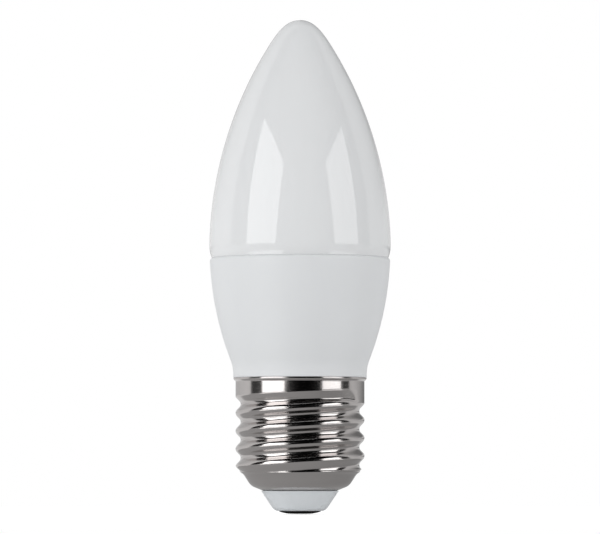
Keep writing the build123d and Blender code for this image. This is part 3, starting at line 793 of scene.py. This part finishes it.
def metal(name, shade, rough, contrast=0.08, lines=9000.0, depth=4.0, dull=None):
    """Worked metal: two near shades by handling, roughness by drawn lines, and a fine bump.

    rough is the least and the most roughness, and depth the bump's, in microns. dull is the name of the
    piece's own attribute and a factor for the shade, where handling marks it more.
    """
    made, tree = bare(name)
    work = place(tree, "ShaderNodeGroup", {"node_tree": worked_metal()}, {"Line scale": lines}).outputs
    tint = near_shades(tree, work["Marks"], shade, contrast)
    if dull:
        where = place(tree, "ShaderNodeAttribute", {"attribute_name": dull[0]}).outputs["Fac"]
        tint = shades(tree, maths(tree, "MULTIPLY", where, work["Marks"]), tint, scaled(shade, dull[1]))
    finish = {
        "Base Color": tint,
        "Roughness": ramp(tree, work["Lines"], 0.0, 1.0, *rough),
        "Metallic": 1.0,
        "Normal": bump(tree, work["Lines"], strength=0.2, depth=depth),
    }
    show(tree, place(tree, "ShaderNodeBsdfPrincipled", inputs=finish))
    return made


# Pieces

# Angle over which the wall of a board slot rises, and the angle within which two columns are one
SLOT_WALL, SAME_ANGLE = 0.002, 1e-4
# Distance from the bore within which a point lies on it
ON_BORE = 0.01 * MM


class LAMP_OT_diffuser(bpy.types.Operator):
    """Make the opal diffuser, turned from its section"""

    bl_idname = "lamp.diffuser"
    bl_label = "Diffuser"

    def execute(self, context):
        profile = diffuser_profile(context.scene.lamp_casing)
        piece = turned_piece("opal_diffuser", profile, columns=192, ring=False)
        shade = context.scene.lamp_colours.opal
        finish = moulded("opal_plastic", shade, (0.03, 0.06), grain=900.0, depth=1, contrast=0.01, coat=0.15)
        settle(piece, "diffuser", finish)
        return {"FINISHED"}


class LAMP_OT_housing(bpy.types.Operator):
    """Make the moulded housing, with the slots for the driver board in its bore"""

    bl_idname = "lamp.housing"
    bl_label = "Housing"

    def execute(self, context):
        c, cap = context.scene.lamp_casing, context.scene.lamp_cap
        profile = housing_profile(c, cap)
        edge = np.arcsin(c.slot_half / c.neck_bore)
        sides = np.array([-edge - SLOT_WALL, -edge, 0.0, edge, edge + SLOT_WALL])
        right = np.mod(sides + pi / 2, 2 * pi) - pi / 2
        angle = np.sort(np.concatenate([even_turn(180), right, sides + pi]))
        angle = angle[np.concatenate([[True], np.diff(angle) > SAME_ANGLE])]
        radius = np.repeat(profile[:, :1], len(angle), axis=1)
        in_bore = np.abs(profile[:, :1] - c.neck_bore) < ON_BORE
        in_slot = profile[:, 1:] > c.neck_foot + c.slot_foot
        across = np.abs(np.sin(angle)) < np.sin(edge + SLOT_WALL / 2)
        radius = np.where(in_bore & in_slot & across, c.slot_reach / np.abs(np.cos(angle)), radius)
        piece = surface("white_housing", radius, profile[:, 1:], angle, ring=True)
        shade = context.scene.lamp_colours.housing
        finish = moulded("white_plastic", shade, (0.38, 0.5), grain=5200.0, depth=10, contrast=0.015)
        settle(piece, "housing", finish)
        return {"FINISHED"}


class LAMP_OT_screw_shell(bpy.types.Operator):
    """Make the rolled screw shell, with its thread cut by the groove's formula"""

    bl_idname = "lamp.screw_shell"
    bl_label = "Screw shell"

    def execute(self, context):
        cap = context.scene.lamp_cap
        profile = shell_profile(cap)
        height, angle = profile[:, 1:], even_turn(240)
        outer = np.arange(len(profile)) <= np.argmax(profile[:, 0])
        threaded = outer[:, None] & (height < band_foot(cap))
        cut = groove_radius(cap, height, angle)
        radius = np.where(threaded, np.minimum(profile[:, :1], cut), profile[:, :1])
        foot = threaded & (height > cap.cone_height) & (height < cap.shoulder_height + cap.foot_blend)
        piece = surface("threaded_shell", eased(radius, foot, passes=2), height, angle, ring=True)
        # Depth in the groove, for the plating, which is duller there
        depth = np.where(threaded, (cap.crest_radius - cut) / cap.thread_depth, 0.0)
        mask = piece.data.attributes.new("groove", "FLOAT", "POINT")
        mask.data.foreach_set("value", np.clip(depth, 0, 1).astype(np.float32).ravel())
        shade = context.scene.lamp_colours.nickel
        finish = metal(
            "nickel_plating", shade, (0.13, 0.17), contrast=0.05, lines=7000.0, depth=1, dull=("groove", 0.94)
        )
        settle(piece, "screw_shell", finish)
        return {"FINISHED"}


class LAMP_OT_insulator(bpy.types.Operator):
    """Make the moulded insulator, which holds the shell's lip"""

    bl_idname = "lamp.insulator"
    bl_label = "Insulator"

    def execute(self, context):
        profile = insulator_profile(context.scene.lamp_cap)
        piece = turned_piece("moulded_insulator", profile, columns=128, ring=True)
        shade = context.scene.lamp_colours.insulator
        finish = moulded("insulator_plastic", shade, (0.25, 0.36), grain=3600.0, depth=8, contrast=0.03)
        settle(piece, "insulator", finish)
        return {"FINISHED"}


class LAMP_OT_contact(bpy.types.Operator):
    """Make the domed centre contact and its shank"""

    bl_idname = "lamp.contact"
    bl_label = "Centre contact"

    def execute(self, context):
        profile = contact_profile(context.scene.lamp_cap)
        piece = turned_piece("domed_contact", profile, columns=96, ring=False)
        shade = context.scene.lamp_colours.contact
        # The near-black finish of the contact is painted shade for the shadow under the lamp
        finish = metal("contact_metal", shade, (0.2, 0.42), contrast=0.25, lines=5000.0)
        settle(piece, "centre_contact", finish)
        return {"FINISHED"}


class LAMP_OT_inside(bpy.types.Operator):
    """Give the parts inside the lamp their finishes"""

    bl_idname = "lamp.inside"
    bl_label = "Inner parts"

    def execute(self, context):
        tone = context.scene.lamp_colours
        tin = metal("tinned_wire", tone.tin, (0.18, 0.34))
        copper = metal("copper_winding", tone.copper, (0.2, 0.4), contrast=0.15, lines=3000.0, depth=40)
        white = moulded("white_mask", tone.board_white, (0.3, 0.42), grain=3000.0, depth=6, contrast=0.02)
        green = moulded("green_mask", tone.board_green, (0.3, 0.45), grain=2600.0, depth=8, contrast=0.2)
        phosphor = moulded("led_phosphor", tone.phosphor, (0.2, 0.3), grain=3000.0, depth=4, contrast=0.08)
        sleeve = moulded("capacitor_sleeve", tone.sleeve, (0.2, 0.3), grain=1500.0, depth=8, contrast=0.2)
        ferrite = moulded("ferrite", tone.ferrite, (0.5, 0.7), grain=7000.0, depth=20, contrast=0.25)
        epoxy = moulded("chip_epoxy", tone.epoxy, (0.45, 0.62), grain=6000.0, depth=20, contrast=0.15)
        lacquer = moulded("resistor_lacquer", tone.lacquer, (0.25, 0.4), grain=2500.0, depth=10, contrast=0.1)
        cover = moulded("lead_insulation", tone.insulation, (0.35, 0.5), grain=3000.0, depth=10, contrast=0.1)
        finishes = {
            "heat_sink": metal("sink_aluminium", tone.aluminium, (0.25, 0.42)),
            "led_board": white,
            "driver_board": green,
            "left_board_pin": tin,
            "right_board_pin": tin,
            "neutral_lead": tin,
            "smoothing_capacitor": sleeve,
            "choke_core": ferrite,
            "choke_winding": copper,
            "bridge_rectifier": epoxy,
            "driver_chip": epoxy,
            "fuse_resistor": lacquer,
            "live_lead": cover,
            **{f"led_{n}": phosphor for n in range(1, 9)},
        }
        for name, finish in finishes.items():
            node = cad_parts[name]
            node.data.materials.clear()
            node.data.materials.append(finish)
        return {"FINISHED"}


# Stage

# Azimuths are in degrees to the right of the camera's side, and heights and radii are in metres
LEFT_LAMP = (-70.6, -22.0)
RIGHT_LAMP = (38.7, 77.8)
FRONT_CARD = (-98.0, 98.5)
BEHIND, BACK_EDGE = 180.0, 179.0
# Each lamp is a flat upright panel: the azimuth it faces from, the azimuths of its ends, its lower and upper
# edge, the setting for its brightness, and whether surfaces mirror it
PANELS = (
    ("left_lamp", -68.0, LEFT_LAMP, (0.02, 0.655), "left_level", True),
    ("right_lamp", 75.0, RIGHT_LAMP, (0.02, 0.578), "right_level", True),
    ("side_fill", -100.0, (-135.0, -65.0), (0.0, 0.8), "side_level", False),
    ("top_fill", 100.0, (65.0, 135.0), (0.6, 1.6), "top_level", False),
    ("back_fill", BEHIND, (130.0, 230.0), (0.0, 0.9), "back_level", False),
)
# Each flag is a small black card before a lamp: the azimuth of its inner edge, the azimuths of its outer edge
# at the two heights of FLAG_SLANT, and its lower and upper edge
FLAG_SLANT = (0.052, 0.125)
FLAGS = (
    ("left_flag", -10.0, (-29.5, -22.5), (0.048, 0.13)),
    ("right_flag", 25.0, (41.8, 36.0), (0.048, 0.13)),
    ("left_low_flag", -10.0, (-26.5, -26.5), (0.0, 0.034)),
    ("right_low_flag", 25.0, (38.3, 38.3), (0.0, 0.034)),
)
# Elevations of the cards' lower edges in front and at the sides, and of their upper edges, in degrees
FRONT_FOOT, SIDE_FOOT, CARD_TOP = -12.0, -2.0, 89.9
# Azimuths over which a side card falls off, and the ends of the band of heights that doesn't
FALL_OFF = (112.0, 150.0)
BAND_START, BAND_END = (0.05, 0.1), (0.2, 0.35)
# Radii of the floor's rings, of which the lower card has all but the last, and heights of the floor, of that
# card and of the shade card
FLOOR_RINGS = (0.0, 0.05, 0.1, 0.2, 0.4, 0.8, 1.6, 3.0)
FLOOR_HEIGHT, UNDER_HEIGHT, SHADE_HEIGHT = -0.0002, -0.0001, -0.00005
# Colours of the floor and of the background
FLOOR_GREY, WHITE = (0.9, 0.9, 0.9, 1.0), (1.0, 1.0, 1.0)
# Radii over which the lower card's grey middle ends, and its factors at an x on the left and one on the
# right. That grey middle is painted shade: the floor in the lamp's own shade, darker on the right where less
# light falls
MIDDLE_END = (0.05, 0.06)
MIDDLE_SPAN, MIDDLE_FACTORS = (-0.02, 0.02), (1.12, 0.86)
# Radii over which the ring before each lamp starts and ends, and the lamp's shares outside the ring and on it
RING_START, RING_END = (0.055, 0.065), (0.11, 0.13)
LAMP_SHARES = (0.12, 0.8)
# Half the width of a sector's soft edge, in degrees
SECTOR_EDGE = 1.5
# Blue of the even light, beside its red and green
FILL_BLUE = 1.02
# Width of the camera's sensor in millimetres
SENSOR_WIDTH = 36.0


def stage_place(tree):
    """A stage point's azimuth to the right of the camera's side, distance from the origin, x, and height."""
    where = object_place(tree)
    part = place(tree, "ShaderNodeSeparateXYZ", inputs={0: where}).outputs
    turned = maths(tree, "ARCTAN2", part["X"], maths(tree, "MULTIPLY", part["Y"], -1.0))
    away = place(tree, "ShaderNodeVectorMath", {"operation": "LENGTH"}, {0: where}).outputs["Value"]
    return turned, away, part["X"], part["Z"]


def window(tree, value, start, end):
    """Value that goes up to 1 over the two ends of start, and back to 0 over the two ends of end."""
    return maths(tree, "MULTIPLY", ramp(tree, value, *start), ramp(tree, value, *end, 1.0, 0.0))


def sector(tree, turned, ends, level):
    """A level between two azimuths, in degrees, and 0 outside them, over soft edges."""
    start, end = (np.radians((each - SECTOR_EDGE, each + SECTOR_EDGE)) for each in ends)
    return maths(tree, "MULTIPLY", window(tree, turned, start, end), level)


def floor_shade(tree, stage):
    """Strength of the lower card.

    Round the lamp it is grey, and darker on the right: painted shade, standing in for the floor in the lamp's
    own shade and for the weaker light on the right. Farther out it carries on what stands upright there:
    black in front, the lamps, dimmed outside a ring, grey beside them, and the cards at the sides.
    """
    turned, away, aside, _ = stage_place(tree)
    grey = ramp(tree, away, *MIDDLE_END, stage.under_level, 0.0)
    middle = maths(tree, "MULTIPLY", grey, ramp(tree, aside, *MIDDLE_SPAN, *MIDDLE_FACTORS))
    ring = window(tree, away, RING_START, RING_END)
    left, right = (
        ramp(tree, ring, 0.0, 1.0, *(share * level for share in LAMP_SHARES))
        for level in (stage.left_level, stage.right_level)
    )
    outside = 0.0
    for ends, level in (
        (LEFT_LAMP, left),
        (RIGHT_LAMP, right),
        ((FRONT_CARD[0], LEFT_LAMP[0]), stage.under_level),
        ((RIGHT_LAMP[1], FRONT_CARD[1]), stage.under_level),
        ((-BACK_EDGE, FRONT_CARD[0]), stage.left_card),
        ((FRONT_CARD[1], BACK_EDGE), stage.right_card),
    ):
        outside = maths(tree, "ADD", outside, sector(tree, turned, ends, level))
    outside = maths(tree, "MULTIPLY", outside, ramp(tree, away, *MIDDLE_END))
    return maths(tree, "ADD", middle, outside)


def side_shade(tree, level, side, rest):
    """Strength of a card at the side, where side is -1 on the left and 1 on the right.

    It falls to a share of its level towards the back, apart from a band of heights that stays even.
    """
    turned, _, _, up = stage_place(tree)
    fall = ramp(tree, turned, *(side * np.radians(FALL_OFF)), 0.0, rest - 1)
    band = window(tree, up, BAND_START, BAND_END)
    fall = maths(tree, "MULTIPLY", fall, ramp(tree, band, 0.0, 1.0, 1.0, 0.0))
    return ramp(tree, fall, -1.0, 0.0, 0.0, level)


def seen_rays(tree):
    """1 for rays from the camera, from reflections and through glass, else 0."""
    path = place(tree, "ShaderNodeLightPath").outputs
    seen = maths(tree, "MAXIMUM", path["Is Camera Ray"], path["Is Glossy Ray"])
    return maths(tree, "MAXIMUM", seen, path["Is Transmission Ray"])


def stage_mesh(name, points, faces, finish):
    """Mesh object of the stage."""
    mesh = bpy.data.meshes.new(name)
    mesh.from_pydata(points.reshape(-1, 3).tolist(), [], faces.tolist())
    mesh.materials.append(finish)
    made = linked(name, mesh)
    return made


def reflector(name, points, faces, strength):
    """Shining mesh that only reflections show. strength is a number, or a function that makes one."""
    finish, tree = bare(name)
    level = strength(tree) if callable(strength) else strength
    show(tree, place(tree, "ShaderNodeEmission", inputs={"Strength": level}))
    made = stage_mesh(name, points, faces, finish)
    made.visible_camera = made.visible_diffuse = made.visible_shadow = False
    made.visible_transmission = made.visible_volume_scatter = False


def grid_faces(shape):
    """Four-sided faces of a grid of points, row by row."""
    index = np.arange(shape[0] * shape[1]).reshape(shape)
    faces = np.stack([index[:-1, :-1], index[:-1, 1:], index[1:, 1:], index[1:, :-1]], axis=2)
    return faces.reshape(-1, 4)


def disc(rings, height):
    """Points on rings round the axis at a height, x = r cos a and y = r sin a, and the faces between them."""
    radius, angle = np.meshgrid(rings, even_turn(64), indexing="ij")
    level = np.full(radius.shape, height)
    points = np.stack([radius * np.cos(angle), radius * np.sin(angle), level], axis=2)
    index = np.arange(radius.size).reshape(radius.shape)
    following = np.roll(index, -1, axis=1)
    faces = np.stack([index[:-1], index[1:], following[1:], following[:-1]], axis=2)
    return points, faces.reshape(-1, 4)


def card(name, distance, sides, foot, strength):
    """Card curved round the lamp between two azimuths, from a lower edge up to the zenith.

    Its points are d (sin a cos e, -cos a cos e, sin e), with a the azimuth and e the elevation.
    """
    a, e = np.meshgrid(np.radians(np.linspace(*sides, 33)), np.radians(np.linspace(foot, CARD_TOP, 17)))
    points = distance * np.stack([np.sin(a) * np.cos(e), -np.cos(a) * np.cos(e), np.sin(e)], axis=2)
    reflector(name, points, grid_faces(a.shape), strength)


def flag(name, distance, inner, outer, heights):
    """Small black card with a slanted outer edge.

    Its points are d (sin a, -cos a) and z, with a from the inner edge to an outer edge given at two heights.
    """
    z, share = np.meshgrid(np.linspace(*heights, 9), np.linspace(0, 1, 9), indexing="ij")
    a = np.radians(inner + share * (np.interp(z, FLAG_SLANT, outer) - inner))
    points = np.stack([distance * np.sin(a), -distance * np.cos(a), z], axis=2)
    reflector(name, points, grid_faces(a.shape), 0.0)


def lamp_panel(name, distance, facing, ends, heights, level):
    """Area lamp as a flat upright panel.

    An end at azimuth a lies tan(a - facing) distances along it. Its power is pi times brightness times area.
    """
    low, high = sorted(np.tan(np.radians(np.array(ends) - facing)) * distance)
    out = Vector((np.sin(radians(facing)), -np.cos(radians(facing)), 0.0))
    along, up = Vector((-out.y, out.x, 0.0)), Vector((0.0, 0.0, 1.0))
    lamp = bpy.data.lights.new(name, "AREA")
    lamp.shape, lamp.size, lamp.size_y = "RECTANGLE", high - low, heights[1] - heights[0]
    lamp.energy = level * pi * lamp.size * lamp.size_y
    made = linked(name, lamp)
    centre = out * distance + along * (low + high) / 2 + up * sum(heights) / 2
    made.matrix_world = Matrix.Translation(centre) @ Matrix((along, up, out)).transposed().to_4x4()
    return made


class LAMP_OT_stage(bpy.types.Operator):
    """Set the floor, the lamps, the cards and the camera"""

    bl_idname = "lamp.stage"
    bl_label = "Stage"

    def execute(self, context):
        scene, stage = context.scene, context.scene.lamp_stage
        self.world(scene, stage)
        self.floor(stage)
        for name, facing, ends, heights, level, mirrored in PANELS:
            lamp = lamp_panel(name, stage.lamp_distance, facing, ends, heights, getattr(stage, level))
            lamp.visible_glossy = mirrored
        self.cards(stage)
        for name, inner, outer, heights in FLAGS:
            flag(name, stage.flag_distance, inner, outer, heights)
        self.camera(scene, stage)
        scene.view_settings.view_transform = "Standard"
        return {"FINISHED"}

    def world(self, scene, stage):
        """Even grey light, and white wherever the background itself shows."""
        scene.world = bpy.data.worlds.new("white_surround")
        scene.world.use_nodes = True
        tree = scene.world.node_tree
        tree.nodes.clear()
        fill = (stage.fill_level, stage.fill_level, stage.fill_level * FILL_BLUE)
        tint = shades(tree, seen_rays(tree), fill, WHITE)
        back = place(tree, "ShaderNodeBackground", inputs={"Color": tint})
        place(tree, "ShaderNodeOutputWorld", inputs={"Surface": back.outputs[0]})

    def floor(self, stage):
        """Pale round floor that keeps the lamp's shadow, and the cards on it that the metal mirrors."""
        finish, tree = bare("pale_floor")
        _, away, _, _ = stage_place(tree)
        reach = {"Value": away, "From Min": stage.floor_near, "From Max": stage.floor_far}
        far = place(tree, "ShaderNodeMapRange", {"interpolation_type": "SMOOTHSTEP"}, reach).outputs["Result"]
        seen = seen_rays(tree)
        matt = place(tree, "ShaderNodeBsdfDiffuse", inputs={"Color": FLOOR_GREY}).outputs[0]
        lift = maths(tree, "MULTIPLY", seen, stage.floor_lift)
        glint = place(tree, "ShaderNodeEmission", inputs={"Strength": lift}).outputs[0]
        near = place(tree, "ShaderNodeAddShader", inputs={0: matt, 1: glint}).outputs[0]
        white = place(tree, "ShaderNodeEmission").outputs[0]
        share = maths(tree, "MULTIPLY", seen, far)
        show(tree, place(tree, "ShaderNodeMixShader", inputs={0: share, 1: near, 2: white}))
        stage_mesh("pale_floor", *disc(FLOOR_RINGS, FLOOR_HEIGHT), finish)
        under = disc(FLOOR_RINGS[:-1], UNDER_HEIGHT)
        reflector("under_card", *under, lambda tree: floor_shade(tree, stage))
        reflector("shade_card", *disc((0.0, stage.shade_radius), SHADE_HEIGHT), stage.shade_level)

    def cards(self, stage):
        """Upright cards that the lamp mirrors: black in front, and grey at the two sides."""
        far = stage.card_distance
        card("front_card", far, FRONT_CARD, FRONT_FOOT, 0.0)
        for name, side, ends, level, rest in (
            ("left_card", -1, (-BEHIND, FRONT_CARD[0]), stage.left_card, stage.left_rest),
            ("right_card", 1, (FRONT_CARD[1], BEHIND), stage.right_card, stage.right_rest),
        ):
            card(name, far, ends, SIDE_FOOT, lambda tree: side_shade(tree, level, side, rest))

    def camera(self, scene, stage):
        """Long lens at the photograph's place, aimed at the middle of the picture."""
        data = bpy.data.cameras.new("camera")
        stand = Vector((0.0, -stage.camera_distance, stage.camera_height))
        aim = Vector((0.0, 0.0, stage.target_height)) - stand
        data.sensor_width = SENSOR_WIDTH
        data.lens = aim.length / MM * stage.pixels_per_mm / PHOTO_WIDTH * SENSOR_WIDTH
        made = linked("camera", data)
        made.location = stand
        made.rotation_euler = aim.to_track_quat("-Z", "Y").to_euler()
        scene.camera = made


OPERATORS = (
    LAMP_OT_diffuser,
    LAMP_OT_housing,
    LAMP_OT_screw_shell,
    LAMP_OT_insulator,
    LAMP_OT_contact,
    LAMP_OT_inside,
    LAMP_OT_stage,
)


class LAMP_PT_panel(bpy.types.Panel):
    """Lists the lamp's operators and settings."""

    bl_idname = "LAMP_PT_panel"
    bl_label = "Candle lamp"
    bl_space_type = "VIEW_3D"
    bl_region_type = "UI"
    bl_category = "Candle lamp"

    def draw(self, context):
        for operator in OPERATORS:
            self.layout.operator(operator.bl_idname)
        for name, kind in GROUPS.items():
            box = self.layout.box()
            box.label(text=kind.__doc__)
            for key in kind.__annotations__:
                box.prop(getattr(context.scene, name), key)


CLASSES = (*GROUPS.values(), *OPERATORS, LAMP_PT_panel)


def register():
    """Registers the classes and puts the settings on the scene."""
    for each in CLASSES:
        bpy.utils.register_class(each)
    for name, kind in GROUPS.items():
        setattr(bpy.types.Scene, name, bpy.props.PointerProperty(type=kind))


def unregister():
    """Takes the settings off the scene and unregisters the classes."""
    for name in GROUPS:
        delattr(bpy.types.Scene, name)
    for each in reversed(CLASSES):
        bpy.utils.unregister_class(each)


def main():
    """Makes every piece and the stage."""
    register()
    bpy.ops.lamp.diffuser()
    bpy.ops.lamp.housing()
    bpy.ops.lamp.screw_shell()
    bpy.ops.lamp.insulator()
    bpy.ops.lamp.contact()
    bpy.ops.lamp.inside()
    bpy.ops.lamp.stage()


if __name__ == "__main__":
    main()
